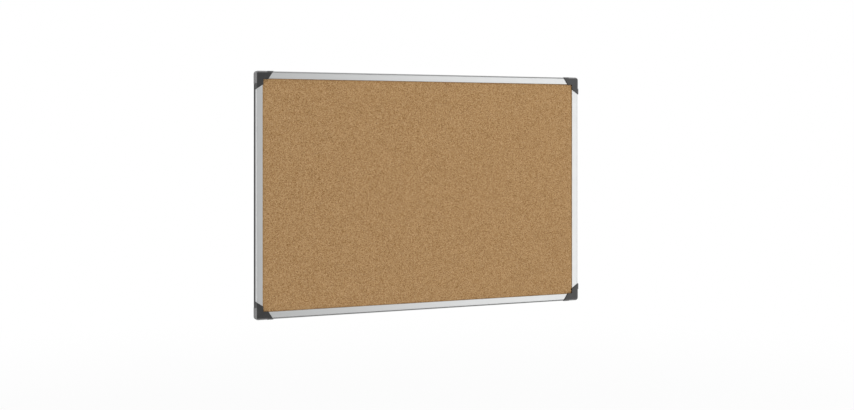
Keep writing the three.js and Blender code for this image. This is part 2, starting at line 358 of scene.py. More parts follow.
# Puts a finished mesh on its body, in place of the CAD nodes that it stands for
def placePiece(name, mesh, material, place, body, nodes, sharpAngle=28, bevel=0):
    mesh.transform(place)
    mesh.materials.clear()
    mesh.materials.append(material)
    mesh.polygons.foreach_set("use_smooth", [True] * len(mesh.polygons))
    mesh.polygons.foreach_set("material_index", [0] * len(mesh.polygons))
    mesh.set_sharp_from_angle(angle=math.radians(sharpAngle))
    piece = newHolder(name, mesh)
    if bevel:
        easing = piece.modifiers.new("easing", "BEVEL")
        easing.width = bevel
        easing.segments = 2
        easing.limit_method = "ANGLE"
        easing.angle_limit = math.radians(sharpAngle + 5)
        easing.harden_normals = False
    weighting = piece.modifiers.new("weighting", "WEIGHTED_NORMAL")
    weighting.keep_sharp = not bevel
    piece.data = evaluated(piece)
    piece.data.name = name
    piece.modifiers.clear()
    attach(piece, body)
    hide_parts(*nodes)
    return piece


rail = {
    # section in millimetres: from the wall, and inwards from the outer edge
    "back": 0.4,
    "flange": 1.2,
    "flangeReach": 16.6,
    "lipBack": 12.8,
    "lipFront": 14.4,
    "lipRadius": 0.5,
    "lipSteps": 6,
    "faceWidth": 18.1,
    "outerWall": 1.3,
    "chamberFloor": 2.4,
    "chamberBottom": 3.6,
    "chamberChamfer": 1.5,
    "chamberSteps": 2,
    "webOuter": 10.8,
    "webInner": 12.0,
    "shoulderWidth": 4.5,
    "shoulderDrop": 2.5,
    "shoulderSteps": 28,
    "edgeRadius": 0.2,
    "edgeSteps": 3,
    # along the rail
    "cornerReach": 30,  # the square that the rails leave open at a corner
    "screwSetback": 15,
    "screwHole": 1.6,
    "screwHoleSides": 24,
    "drillLength": 2.0,  # more than the floor's thickness
    # finish: lengths in metres, noise in cells to a metre
    "tones": [(0.3, (0.765, 0.775, 0.775)), (0.7, (0.82, 0.828, 0.826))],
    "roughness": 0.3,
    "lineSpacing": 0.0005,  # between the fine lines left by the die
    "lineLength": 0.3,
    "lineWear": 0.04,  # how far the lines and the clouds change the roughness
    "cloudWear": 0.06,
    "clouds": 45,
    "bump": 0.12,
    "bumpDepth": 0.00003,
}


# The die's lines run along the rail, which lies along X or Z
def makeAnodisedMaterial(name, lengthAxis):
    material, tree, shader, place = newMaterial(name, Metallic=1)
    across = 1 / rail["lineSpacing"]
    scale = [across, across, across]
    scale[lengthAxis] = 1 / rail["lineLength"]
    stretched = addNode(tree, "ShaderNodeMapping", {"Vector": place, "Scale": scale})
    lines = noiseOf(tree, stretched.outputs["Vector"], 1, 2)
    cloud = noiseOf(tree, place, rail["clouds"], 4)
    colour = rampOf(tree, lines, rail["tones"])
    tree.links.new(colour, shader.inputs["Base Color"])
    worn = calc(
        tree, "MULTIPLY_ADD", cloud, rail["cloudWear"], rail["roughness"] - rail["cloudWear"] / 2)
    rough = calc(tree, "MULTIPLY_ADD", lines, rail["lineWear"], calc(
        tree, "SUBTRACT", worn, rail["lineWear"] / 2))
    tree.links.new(rough, shader.inputs["Roughness"])
    addBump(tree, shader, lines, rail["bump"], rail["bumpDepth"])
    return material


# The section's outer and chamber outlines, drawn in u (x) and d (y)
def drawRailSection():
    lipCentre = (rail["faceWidth"] - rail["lipRadius"], rail["lipFront"] - rail["lipRadius"])
    shoulderCentre = (rail["shoulderWidth"], rail["lipFront"] - rail["shoulderDrop"])
    outer = easedOutline([
        (0, rail["back"]),
        (rail["outerWall"], rail["back"]),
        (rail["outerWall"], rail["chamberFloor"]),
        (rail["webOuter"], rail["chamberFloor"]),
        (rail["webOuter"], rail["back"]),
        (rail["flangeReach"], rail["back"]),
        (rail["flangeReach"], rail["back"] + rail["flange"]),
        (rail["webInner"], rail["back"] + rail["flange"]),
        (rail["webInner"], rail["lipBack"]),
        (rail["faceWidth"], rail["lipBack"]),
        *quarterRound(lipCentre, rail["lipRadius"], rail["lipRadius"], 0, rail["lipSteps"]),
        *quarterRound(
            shoulderCentre, rail["shoulderWidth"], rail["shoulderDrop"], math.pi / 2,
            rail["shoulderSteps"]),
    ], rail["edgeRadius"], rail["edgeSteps"])
    chamber = easedOutline([
        (rail["outerWall"], rail["chamberBottom"]),
        (rail["webOuter"], rail["chamberBottom"]),
        (rail["webOuter"], rail["lipBack"]),
        (rail["outerWall"] + rail["chamberChamfer"], rail["lipBack"]),
        (rail["outerWall"], rail["lipBack"] - rail["chamberChamfer"]),
    ], rail["edgeRadius"], rail["chamberSteps"])
    points = [(x, y, 0) for x, y in outer + chamber]
    edges = [(index, (index + 1) % len(outer)) for index in range(len(outer))]
    edges += [(len(outer) + index, len(outer) + (index + 1) % len(chamber))
              for index in range(len(chamber))]
    section = bpy.data.meshes.new("railSection")
    section.from_pydata(points, edges, [])
    return section


# Fills the section, draws it out along z and pierces the floor for the corner screws
def makeRailTree():
    tree, given = newTree("railExtrusion", {
        "Length": "Float", "Screw Setback": "Float", "Screw Hole Radius": "Float",
        "Hole Place": "Vector", "Material": "Material"})
    curve = addNode(tree, "GeometryNodeMeshToCurve", {"Mesh": given["Geometry"]})
    face = addNode(tree, "GeometryNodeFillCurve", {
        "Curve": curve.outputs["Curve"]}, mode="TRIANGLES").outputs["Mesh"]
    drawn = addNode(tree, "GeometryNodeExtrudeMesh", {
        "Mesh": face, "Offset": (0, 0, 1), "Offset Scale": given["Length"],
        "Individual": False}, mode="FACES")
    foot = addNode(tree, "GeometryNodeFlipFaces", {"Mesh": face})
    closed = addNode(tree, "GeometryNodeMergeByDistance", {
        "Geometry": joinGeometry(tree, drawn.outputs["Mesh"], foot.outputs["Mesh"]),
        "Distance": 0.001})
    holeGap = calc(tree, "SUBTRACT", given["Length"], calc(
        tree, "MULTIPLY", given["Screw Setback"], 2))
    firstHole = addNode(tree, "ShaderNodeVectorMath", {
        0: given["Hole Place"],
        1: alongZ(tree, given["Screw Setback"]),
    }, operation="ADD")
    holes = addNode(tree, "GeometryNodeMeshLine", {
        "Count": 2, "Start Location": firstHole.outputs["Vector"],
        "Offset": alongZ(tree, holeGap)})
    drill = addNode(tree, "GeometryNodeMeshCylinder", {
        "Vertices": rail["screwHoleSides"], "Radius": given["Screw Hole Radius"],
        "Depth": rail["drillLength"]})
    drills = addNode(tree, "GeometryNodeInstanceOnPoints", {
        "Points": holes.outputs["Mesh"], "Instance": drill.outputs["Mesh"],
        "Rotation": (math.pi / 2, 0, 0)})
    drillMesh = addNode(tree, "GeometryNodeRealizeInstances", {
        "Geometry": drills.outputs["Instances"]})
    pierced = addNode(tree, "GeometryNodeMeshBoolean", {
        "Mesh 1": closed.outputs["Geometry"], "Mesh 2": drillMesh.outputs["Geometry"],
    }, operation="DIFFERENCE", solver="MANIFOLD")
    closeTree(tree, pierced.outputs["Mesh"], given["Material"])
    return tree


anodisedMaterials = [
    makeAnodisedMaterial("anodised_along_x", 0),
    makeAnodisedMaterial("anodised_along_z", 2),
]
railTree = makeRailTree()
railTurn = Matrix(((0, 0, 1, 0), (1, 0, 0, 0), (0, 1, 0, 0), (0, 0, 0, 1)))
for quarter, corner in enumerate(corners):
    boardLength = board["width"] if quarter % 2 == 0 else board["height"]
    railMesh = growMesh(railTree, drawRailSection(), {
        "Length": float(boardLength - 2 * rail["cornerReach"]),
        "Screw Setback": float(rail["screwSetback"]),
        "Screw Hole Radius": rail["screwHole"],
        "Hole Place": (
            (rail["outerWall"] + rail["webOuter"]) / 2,
            (rail["chamberFloor"] + rail["chamberBottom"]) / 2, 0),
        "Material": anodisedMaterials[quarter % 2],
    })
    cleanMesh(railMesh)
    railStart = Matrix.Translation((rail["cornerReach"], 0, 0))
    placePiece(
        f"frame_rail_{corner['rail']}", railMesh, anodisedMaterials[quarter % 2],
        cornerPlace(quarter) @ railStart @ railTurn, "board", [f"rail_{corner['rail']}"])
print("rails drawn")

moulding = {
    "cloudRange": (0.35, 0.65),
    "clouds": 70,  # noise cells to a metre
    "cloudWear": 0.1,  # how far the clouds change the roughness
    "bump": 0.25,
    "bumpDepth": 0.00004,  # metres
}


def makeMouldedMaterial(name, look, specular):
    material, tree, shader, place = newMaterial(name, Specular_IOR_Level=specular)
    spark = cellsOf(tree, place, 1 / look["grain"])["Distance"]
    cloud = noiseOf(tree, place, moulding["clouds"], 4)
    low, high = moulding["cloudRange"]
    colour = rampOf(tree, cloud, [(low, look["dark"]), (high, look["light"])])
    tree.links.new(colour, shader.inputs["Base Color"])
    rough = calc(
        tree, "MULTIPLY_ADD", cloud, moulding["cloudWear"],
        look["roughness"] - moulding["cloudWear"] / 2)
    tree.links.new(rough, shader.inputs["Roughness"])
    addBump(tree, shader, spark, moulding["bump"], moulding["bumpDepth"])
    return material, tree, shader, place, colour, rough


cap = {
    # shape in millimetres, from the frame's outer faces and from the wall
    "proud": 0.6,  # outside the frame
    "top": 16.5,
    "under": 14.7,  # the back of the face
    "radius": 8,
    "roundSteps": 20,
    "fillet": 4,
    "filletSteps": 10,
    "bevel": 0.45,
    "bevelSteps": 4,
    "inner": 19.4,
    "innerRadius": 0.8,
    "innerSteps": 5,
    "tip": 45,
    "slant": 13.1,
    "tipRadius": 0.5,
    "tipSteps": 4,
    "tipSkirt": 5.5,  # depth of the arms, which lie over the rails
    "blockEnd": 29.7,
    "skirtWall": 1.6,
    "skirtLift": 0.8,
    "innerWall": 1,
    "sideFit": 0.2,  # the gaps to the rails
    "fit": 0.3,
    "pegPlaces": [(25, 6.65), (6.65, 25), (16.5, 6.65), (6.65, 16.5)],
    "pegRadius": 1.5,
    "pegChamfer": 0.5,
    "pegEnd": 5.3,
    "pegSides": 24,
    "overrun": 2,  # how far a cut runs past the faces that it opens
    # finish: lengths in metres, noise in cells to a metre
    "dark": (0.0062, 0.006, 0.006),
    "light": (0.0085, 0.0082, 0.0082),
    "roughness": 0.3,
    "faceSpecular": 1.0,
    "shadedWallSpecular": 0.15,  # a weaker reflection as painted shade, inside the skirt and on the walls towards the cork
    "wallInset": 0.0006,  # how far inside the frame's outer faces such a wall begins
    "wallTilt": 0.5,  # and how far its normal may turn to the front or the back
    "grain": 0.00035,
    # a paler colour on the block's rounded edges, in place of the light they catch: painted sheen
    "paintedSheenColour": (0.19, 0.188, 0.19),
    "paintedSheenRoughness": 0.55,
    "paintedSheenMottle": 1200,
    "paintedSheenRange": (0.3, 0.6),
    "paintedSheenLeast": 0.88,
    "blockReach": 0.0303,  # how far the painted sheen runs in from the cap's outer faces
    "blockFade": 0.0003,
    "paintedEdgeReach": 0.0044,
    "edgeFade": 0.00154,
    "armSheenShare": 0.3,  # the painted sheen on the arms, as a share of the block's
}


# The rounded outer edges of a cap's corner block are painted paler: a painted sheen
def makeCapMaterial(name, specular):
    material, tree, shader, place, colour, rough = makeMouldedMaterial(name, cap, specular)
    insideX, insideZ = insetFrom(tree, place, -cap["proud"])
    onBlock = rangeOf(
        tree, calc(tree, "MAXIMUM", insideX, insideZ), cap["blockReach"] - cap["blockFade"],
        cap["blockReach"], 1.0, cap["armSheenShare"])
    onEdge = rangeOf(
        tree, calc(tree, "MINIMUM", insideX, insideZ), cap["paintedEdgeReach"] - cap["edgeFade"],
        cap["paintedEdgeReach"], 1.0, 0.0)
    # painted sheen: the block's rounded edges are made paler, with a mottle
    mottle = noiseOf(tree, place, cap["paintedSheenMottle"], 4)
    sheenMottling = rangeOf(tree, mottle, *cap["paintedSheenRange"], cap["paintedSheenLeast"], 1.0)
    sheenMask = calc(tree, "MULTIPLY", calc(tree, "MULTIPLY", onBlock, onEdge), sheenMottling)
    colour = mixColours(tree, sheenMask, colour, (*cap["paintedSheenColour"], 1))
    tree.links.new(colour, shader.inputs["Base Color"])
    rough = addNode(tree, "ShaderNodeMix", {
        0: sheenMask, 2: rough, 3: cap["paintedSheenRoughness"]}).outputs[0]
    tree.links.new(rough, shader.inputs["Roughness"])
    return material


def capOutline():
    roundPlace = cap["radius"] - cap["proud"]
    innerCentre = (cap["inner"] + cap["innerRadius"],) * 2
    innerRound = quarterRound(
        innerCentre, cap["innerRadius"], cap["innerRadius"], math.pi, cap["innerSteps"])[::-1]
    arms = [
        (cap["tip"], -cap["proud"]),
        (cap["tip"] - cap["slant"], cap["inner"]),
        *innerRound,
        (cap["inner"], cap["tip"] - cap["slant"]),
        (-cap["proud"], cap["tip"]),
    ]
    corner = quarterRound(
        (roundPlace, roundPlace), cap["radius"], cap["radius"], math.pi, cap["roundSteps"])
    return easedOutline(corner + arms, cap["tipRadius"], cap["tipSteps"])


def roundedSquare(radius, far):
    roundPlace = cap["radius"] - cap["proud"]
    start = roundPlace - radius
    corner = quarterRound((roundPlace, roundPlace), radius, radius, math.pi, cap["roundSteps"])
    return corner + [(far, start), (far, far), (start, far)]


def makeCapMesh():
    overrun = cap["overrun"]
    far = cap["tip"] + overrun
    edge = -cap["proud"] - overrun
    blockEnd = cap["blockEnd"]
    above = cap["top"] + overrun
    tipBottom = cap["top"] - cap["tipSkirt"]
    shape = roundedPrism(
        roundedSquare(cap["radius"], far + cap["fillet"]), cap["skirtLift"], cap["top"],
        cap["fillet"], cap["filletSteps"])
    shape = combine(
        shape, block((edge, edge, cap["skirtLift"]), (blockEnd, blockEnd, above)), "INTERSECT")
    shape = combine(shape, block((blockEnd, edge, tipBottom), (far, far, above)), "UNION")
    shape = combine(shape, block((edge, blockEnd, tipBottom), (far, far, above)), "UNION")
    shape = combine(shape, roundedPrism(
        capOutline(), cap["skirtLift"], cap["top"], cap["bevel"], cap["bevelSteps"]), "INTERSECT")
    wallInner = cap["inner"] - cap["innerWall"]
    skirtInside = cap["skirtWall"] - cap["proud"]
    hollow = roundedSquare(cap["radius"] - cap["skirtWall"], far)[:-3] + [
        (far, skirtInside), (far, wallInner), (wallInner, wallInner), (wallInner, far),
        (skirtInside, far)]
    shape = combine(shape, prism(hollow, 0, cap["under"]), "DIFFERENCE")
    railEdge = rail["faceWidth"] + cap["fit"]
    shoulderCentre = (rail["shoulderWidth"], rail["lipFront"] - rail["shoulderDrop"])
    railSpace = [
        (-cap["sideFit"], 0), (railEdge, 0), (railEdge, cap["under"]),
        *quarterRound(
            shoulderCentre, rail["shoulderWidth"] + cap["sideFit"],
            rail["shoulderDrop"] + cap["fit"], math.pi / 2, cap["roundSteps"])]
    for alongA in (True, False):
        shape = combine(shape, runSection(railSpace, blockEnd, far, alongA), "DIFFERENCE")
    clear = wallInner - overrun
    shape = combine(shape, block((clear, clear, 0), (far, far, rail["lipBack"])), "DIFFERENCE")
    for place in cap["pegPlaces"]:
        shape = combine(shape, loftRings(turnedRings([
            (cap["pegRadius"] - cap["pegChamfer"], cap["pegEnd"]),
            (cap["pegRadius"], cap["pegEnd"] + cap["pegChamfer"]),
            (cap["pegRadius"], cap["under"] + cap["bevel"]),
        ], cap["pegSides"], place)), "UNION")
    cleanMesh(shape)
    return shape


# Every wall that stands square to the board, apart from the outermost ones, takes a copy of the
# material that reflects less: painted shade
def shadeWalls(piece):
    halfWidth = board["width"] / 2000
    halfHeight = board["height"] / 2000
    piece.data.materials.append(capShadedWallMaterial)
    for face in piece.data.polygons:
        centre = face.center
        inside = min(halfWidth - abs(centre.x), halfHeight - abs(centre.z))
        if abs(face.normal.y) < cap["wallTilt"] and inside > cap["wallInset"]:
            face.material_index = 1


capMaterial = makeCapMaterial("charcoal_plastic", cap["faceSpecular"])
# the walls' copy reflects less: painted shade
capShadedWallMaterial = makeCapMaterial("charcoal_plastic_shaded_walls", cap["shadedWallSpecular"])
capMesh = makeCapMesh()
for quarter, corner in enumerate(corners):
    shadeWalls(placePiece(
        f"cap_{corner['name']}", capMesh.copy(), capMaterial, cornerPlace(quarter),
        f"cap_{corner['name']}", [f"corner_cap_{corner['name']}"]))
print("corner caps made")

bracket = {
    "edge": 0.00022,  # metres by which the moulded edges are eased
    "dark": (0.018, 0.018, 0.02),
    "light": (0.027, 0.027, 0.029),
    "roughness": 0.5,
    "specular": 0.5,
    "grain": 0.0005,  # metres
}
bracketMaterial = makeMouldedMaterial("black_plastic", bracket, bracket["specular"])[0]
for corner in corners:
    node = f"corner_bracket_{corner['name']}"
    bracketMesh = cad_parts[node].data.copy()
    bracketMesh.transform(toMetres.inverted())
    cleanMesh(bracketMesh)
    placePiece(
        f"bracket_{corner['name']}", bracketMesh, bracketMaterial, toMetres, "board", [node],
        bevel=bracket["edge"])
print("brackets made")

screw = {
    # shape in millimetres, from the wall
    "headFace": 2.3,  # the side of the head that bears on the rail
    "headRadius": 2.6,
    "headHeight": 1.5,
    "headSide": 0.55,
    "headRound": 1.15,  # how far the crown's round runs in from the side
    "headEdge": 0.1,
    "crownSteps": 6,
    "recessLength": 2.8,
    "recessWidth": 0.62,
    "recessDepth": 0.85,
    "recessTop": 1.12,  # how the recess widens outwards and narrows inwards
    "recessFoot": 0.62,
    "core": 0.95,
    "crest": 1.3,
    "pitch": 1.1,
    "ridge": 0.22,  # half the thread's thickness, as a share of the pitch
    "threadStart": 0.5,  # from the head's face, and the length over which it grows
    "threadGrowth": 0.6,
    "shankEnd": 10.3,
    "pointStart": 8.9,
    "pointTaper": 0.88,
    "rows": 44,
    "sides": 28,
    "sharpAngle": 35,  # degrees
    "seed": 5,  # of the turns in which the driver left them
    # finish: lengths in metres, noise in cells to a metre
    "tones": [(0.35, (0.58, 0.585, 0.58)), (0.65, (0.69, 0.695, 0.7))],
    "smoothest": 0.22,
    "wear": 0.2,
    "spangles": 1800,
    "clouds": 900,
    "bump": 0.1,
    "bumpDepth": 0.00003,
}


def makeZincMaterial():
    material, tree, shader, place = newMaterial("zinc_plate", Metallic=1)
    spangle = cellsOf(tree, place, screw["spangles"])["Distance"]
    cloud = noiseOf(tree, place, screw["clouds"], 4)
    colour = rampOf(tree, cloud, screw["tones"])
    tree.links.new(colour, shader.inputs["Base Color"])
    rough = calc(tree, "MULTIPLY_ADD", cloud, screw["wear"], screw["smoothest"])
    tree.links.new(rough, shader.inputs["Roughness"])
    addBump(tree, shader, spangle, screw["bump"], screw["bumpDepth"])
    return material


# Shank with a thread that winds up it
def screwRings():
    rings = []
    low = screw["headFace"]
    for row in range(screw["rows"] + 1):
        height = low + (screw["shankEnd"] - low) * row / screw["rows"]
        point = max(0, (height - screw["pointStart"]) / (screw["shankEnd"] - screw["pointStart"]))
        ring = []
        for side in range(screw["sides"]):
            turn = side / screw["sides"]
            phase = (height / screw["pitch"] - turn) % 1
            ridge = max(0, 1 - abs(phase - 0.5) / screw["ridge"])
            grown = min(1, max(0, (height - low - screw["threadStart"]) / screw["threadGrowth"]))
            radius = screw["core"] + (screw["crest"] - screw["core"]) * ridge * grown
            radius *= 1 - screw["pointTaper"] * point
            angle = 2 * math.pi * turn
            ring.append((radius * math.cos(angle), radius * math.sin(angle), height))
        rings.append(ring)
    return rings


def makeScrewMesh():
    headBack = screw["headFace"] - screw["headHeight"]
    crown = screw["headHeight"] - screw["headSide"]
    profile = [(screw["headRadius"] - screw["headEdge"], screw["headFace"]),
               (screw["headRadius"], screw["headFace"] - screw["headEdge"])]
    for step in range(screw["crownSteps"] + 1):
        angle = math.pi / 2 * step / screw["crownSteps"]
        profile.append((
            screw["headRadius"] - screw["headRound"] + screw["headRound"] * math.cos(angle),
            screw["headFace"] - screw["headSide"] - crown * math.sin(angle)))
    shape = loftRings(screwRings()[::-1] + turnedRings(profile, screw["sides"]))
    for turn in (0, math.pi / 2):
        rings = []
        for share, height in (
                (screw["recessTop"], headBack - screw["headEdge"]),
                (screw["recessFoot"], headBack + screw["recessDepth"])):
            halfLength = screw["recessLength"] / 2 * share
            halfWidth = screw["recessWidth"] / 2 * share
            slotPoints = [(-halfLength, -halfWidth), (halfLength, -halfWidth),
                          (halfLength, halfWidth), (-halfLength, halfWidth)]
            rings.append([(
                x * math.cos(turn) - y * math.sin(turn), x * math.sin(turn) + y * math.cos(turn),
                height) for x, y in slotPoints])
        shape = combine(shape, loftRings(rings), "DIFFERENCE")
    return shape


# One screw at each given point, each turned as it was left by the driver
def makeScrewTree():
    tree, given = newTree("screwSet", {
        "Screw": "Object", "Seed": "Int", "Material": "Material"})
    model = addNode(tree, "GeometryNodeObjectInfo", {"Object": given["Screw"]})
    turn = addNode(tree, "FunctionNodeRandomValue", {
        2: 0.0, 3: 2 * math.pi, "Seed": given["Seed"]}, data_type="FLOAT")
    points = addNode(tree, "GeometryNodeMeshToPoints", {"Mesh": given["Geometry"]})
    screws = addNode(tree, "GeometryNodeInstanceOnPoints", {
        "Points": points.outputs["Points"], "Instance": model.outputs["Geometry"],
        "Rotation": alongZ(tree, turn.outputs[1])})
    closeTree(tree, screws.outputs["Instances"], given["Material"])
    return tree


def makeScrews():
    zincMaterial = makeZincMaterial()
    across = (rail["outerWall"] + rail["webOuter"]) / 2
    along = rail["cornerReach"] + rail["screwSetback"]
    points = []
    for corner in corners:
        sideX, sideZ = corner["side"]
        for inX, inZ in ((along, across), (across, along)):
            points.append((
                sideX * (board["width"] / 2 - inX), sideZ * (board["height"] / 2 - inZ), 0))
    places = bpy.data.meshes.new("screwPlaces")
    places.from_pydata(points, [], [])
    model = newHolder("screwModel", makeScrewMesh())
    screwMesh = growMesh(makeScrewTree(), places, {
        "Screw": model, "Seed": screw["seed"], "Material": zincMaterial})
    bpy.data.objects.remove(model)
    nodes = sorted(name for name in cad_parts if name.startswith("screw_"))
    placePiece(
        "frame_screws", screwMesh, zincMaterial, toMetres @ standUp, "board", nodes,
        sharpAngle=screw["sharpAngle"])


makeScrews()
print("screws placed")


def nodeSpan(node):
    low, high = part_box(node)
    return {
        "width": (high.x - low.x) * 1000, "height": (high.z - low.z) * 1000,
        "back": -high.y * 1000, "front": -low.y * 1000}


# A closed sheet whose front is a little uneven, inwards only
def makeSheetTree():
    tree, given = newTree("unevenSheet", {
        "Width": "Float", "Height": "Float", "Thickness": "Float", "Cells Across": "Int",
        "Cells Up": "Int", "Relief": "Float", "Grain": "Float", "Seed": "Int",
        "Material": "Material"})
    flat = addNode(tree, "GeometryNodeMeshGrid", {
        "Size X": given["Width"], "Size Y": given["Height"],
        "Vertices X": calc(tree, "ADD", given["Cells Across"], 1),
        "Vertices Y": calc(tree, "ADD", given["Cells Up"], 1)}).outputs["Mesh"]
    raised = addNode(tree, "GeometryNodeExtrudeMesh", {
        "Mesh": flat, "Offset": (0, 0, 1), "Offset Scale": given["Thickness"],
        "Individual": False}, mode="FACES")
    position = addNode(tree, "GeometryNodeInputPosition").outputs["Position"]
    waves = addNode(tree, "ShaderNodeTexNoise", {
        "Vector": position, "W": given["Seed"], "Detail": 3, "Roughness": 0.65,
        "Scale": calc(tree, "DIVIDE", 1, given["Grain"])}, noise_dimensions="4D")
    drop = calc(tree, "MULTIPLY", calc(
        tree, "MULTIPLY", waves.outputs["Fac"], given["Relief"]), -1)
    uneven = addNode(tree, "GeometryNodeSetPosition", {
        "Geometry": raised.outputs["Mesh"], "Selection": raised.outputs["Top"],
        "Offset": alongZ(tree, drop)})
    # the rim's edges have one face each
    neighbours = addNode(tree, "GeometryNodeInputMeshEdgeNeighbors")
    rim = addNode(tree, "GeometryNodeMeshToCurve", {
        "Mesh": flat,
        "Selection": calc(tree, "LESS_THAN", neighbours.outputs["Face Count"], 1.5)})
    back = addNode(tree, "GeometryNodeFillCurve", {
        "Curve": rim.outputs["Curve"]}, mode="TRIANGLES")
    backwards = addNode(tree, "GeometryNodeFlipFaces", {"Mesh": back.outputs["Mesh"]})
    closed = addNode(tree, "GeometryNodeMergeByDistance", {
        "Geometry": joinGeometry(tree, uneven.outputs["Geometry"], backwards.outputs["Mesh"]),
        "Distance": 0.01})
    closeTree(tree, closed.outputs["Geometry"], given["Material"])
    return tree


sheetTree = makeSheetTree()


def makeSheet(name, node, sheet, material, facesWall):
    span = nodeSpan(node)
    mesh = growMesh(sheetTree, bpy.data.meshes.new("empty"), {
        "Width": span["width"], "Height": span["height"],
        "Thickness": span["front"] - span["back"],
        "Cells Across": sheet["cells"][0], "Cells Up": sheet["cells"][1],
        "Relief": sheet["relief"], "Grain": float(sheet["grain"]), "Seed": sheet["seed"],
        "Material": material})
    if facesWall:
        turn = Matrix.Translation((0, 0, span["front"])) @ Matrix.Rotation(math.pi, 4, "X")
    else:
        turn = Matrix.Translation((0, 0, span["back"]))
    placePiece(name, mesh, material, toMetres @ standUp @ turn, "board", [node])


cork = {
    # unevenness of the surface, in millimetres
    "cells": (360, 240),
    "relief": 0.14,
    "grain": 3.2,
    "seed": 3,
    # finish: lengths in metres
    "granule": 0.0016,
    "fineGranule": 0.0008,
    "fineShare": 0.2,  # how far the fine granules set the tone
    "tones": [  # of the granules, as they look on a screen
        (0.0, (124, 82, 42)),
        (0.12, (145, 104, 57)),
        (0.28, (166, 126, 78)),
        (0.5, (179, 141, 92)),
        (0.75, (192, 153, 105)),
        (0.92, (203, 168, 122)),
        (1.0, (212, 180, 138)),
    ],
    "seamShade": 0.72,
    "seamWidth": 0.09,  # as a share of a granule
    "patch": 0.025,
    "patchShades": [(0.3, 0.86), (0.7, 0.9)],
    "paintedEdgeShade": 0.85,  # painted shade along the frame, where the lips shade the cork: what is left of the colour
    "paintedEdgeReach": 0.003,
    "bump": 0.5,
    "fineBump": 0.5,  # the fine granules' height, as a share of the others'
    "bumpDepth": 0.0002,
}


def makeCorkMaterial():
    material, tree, shader, place = newMaterial("agglomerated_cork", Roughness=0.85)
    granules = cellsOf(tree, place, 1 / cork["granule"])
    seams = cellsOf(tree, place, 1 / cork["granule"], feature="DISTANCE_TO_EDGE")
    fine = cellsOf(tree, place, 1 / cork["fineGranule"])
    granuleTone = addNode(tree, "ShaderNodeSeparateColor", {"Color": granules["Color"]})
    fineTone = addNode(tree, "ShaderNodeSeparateColor", {"Color": fine["Color"]})
    tone = calc(tree, "MULTIPLY_ADD", granuleTone.outputs[0], 1 - cork["fineShare"], calc(
        tree, "MULTIPLY", fineTone.outputs[1], cork["fineShare"]))
    colour = rampOf(
        tree, tone, [(position, screenColour(*levels)) for position, levels in cork["tones"]])
    seamTone = rampOf(tree, seams["Distance"], [
        (0.0, grey(cork["seamShade"])), (cork["seamWidth"], grey(1.0))])
    colour = mixColours(tree, 1, colour, seamTone, "MULTIPLY")
    patch = noiseOf(tree, place, 1 / cork["patch"], 4, Roughness=0.8)
    patchTone = rampOf(
        tree, patch, [(position, grey(shade)) for position, shade in cork["patchShades"]])
    colour = mixColours(tree, 1, colour, patchTone, "MULTIPLY")
    # painted shade: the cork darkens towards the rails' lips
    insideX, insideZ = insetFrom(tree, place, rail["faceWidth"])
    paintedShade = rangeOf(
        tree, calc(tree, "MINIMUM", insideX, insideZ), 0.0, cork["paintedEdgeReach"],
        cork["paintedEdgeShade"], 1.0)
    colour = mixColours(tree, 1, colour, paintedShade, "MULTIPLY")
    tree.links.new(colour, shader.inputs["Base Color"])
    height = calc(tree, "MULTIPLY_ADD", granules["Distance"], -1, calc(
        tree, "MULTIPLY", fine["Distance"], -cork["fineBump"]))
    addBump(tree, shader, height, cork["bump"], cork["bumpDepth"])
    return material


paper = {
    # unevenness of the surface, in millimetres
    "cells": (150, 100),
    "relief": 0.16,
    "grain": 70,
    "seed": 8,
    # finish: lengths in metres, noise in cells to a metre
    "roughness": 0.78,
    "fibres": (260, 900, 2600),  # along each axis
    "tangle": 0.6,
    "detail": 5,
    "tones": [
        (0.25, (0.29, 0.195, 0.105)), (0.5, (0.42, 0.295, 0.17)), (0.75, (0.5, 0.365, 0.22))],
    "clouds": 30,
    "cloudShades": [(0.3, grey(0.9)), (0.7, grey(1.0))],
    "bump": 0.3,
    "bumpDepth": 0.00008,
}
softboard = {
    "roughness": 0.95,
    "fibres": (350, 1400, 700),
    "tangle": 1.2,
    "detail": 6,
    "tones": [
        (0.3, (0.13, 0.085, 0.045)), (0.5, (0.22, 0.15, 0.082)), (0.72, (0.33, 0.235, 0.14))],
    "bump": 0.6,
    "bumpDepth": 0.0004,
}


# Paper or board of matted fibres
def makeFibreMaterial(name, look):
    material, tree, shader, place = newMaterial(name, Roughness=look["roughness"])
    stretched = addNode(tree, "ShaderNodeMapping", {"Vector": place, "Scale": look["fibres"]})
    fibres = noiseOf(
        tree, stretched.outputs["Vector"], 1, look["detail"], Distortion=look["tangle"])
    colour = rampOf(tree, fibres, look["tones"])
    if "clouds" in look:
        shade = rampOf(tree, noiseOf(tree, place, look["clouds"], 5), look["cloudShades"])
        colour = mixColours(tree, 1, colour, shade, "MULTIPLY")
    tree.links.new(colour, shader.inputs["Base Color"])
    addBump(tree, shader, fibres, look["bump"], look["bumpDepth"])
    return material


makeSheet("cork_surface", "cork_sheet", cork, makeCorkMaterial(), False)
makeSheet(
    "backing_paper", "backing_sheet", paper, makeFibreMaterial("kraft_paper", paper),
    True)
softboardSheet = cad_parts["softboard_core"].data
softboardSheet.materials.clear()
softboardSheet.materials.append(makeFibreMaterial("softboard_fibre", softboard))

fleck = {
    # shape in millimetres
    "density": 0.0062,  # for each square millimetre
    "smallest": 0.35,  # half lengths
    "largest": 1.05,
    "thickness": 0.07,
    "margin": 1.5,  # kept clear along the rails
    "seed": 11,
    # finish
    "roughness": 0.8,
    "mottle": 260,  # noise cells to a metre
    "tones": [
        (0.32, (0.075, 0.038, 0.017)), (0.5, (0.14, 0.073, 0.03)), (0.68, (0.23, 0.128, 0.055))],
    "bump": 0.4,
    "bumpDepth": 0.0001,  # metres
}


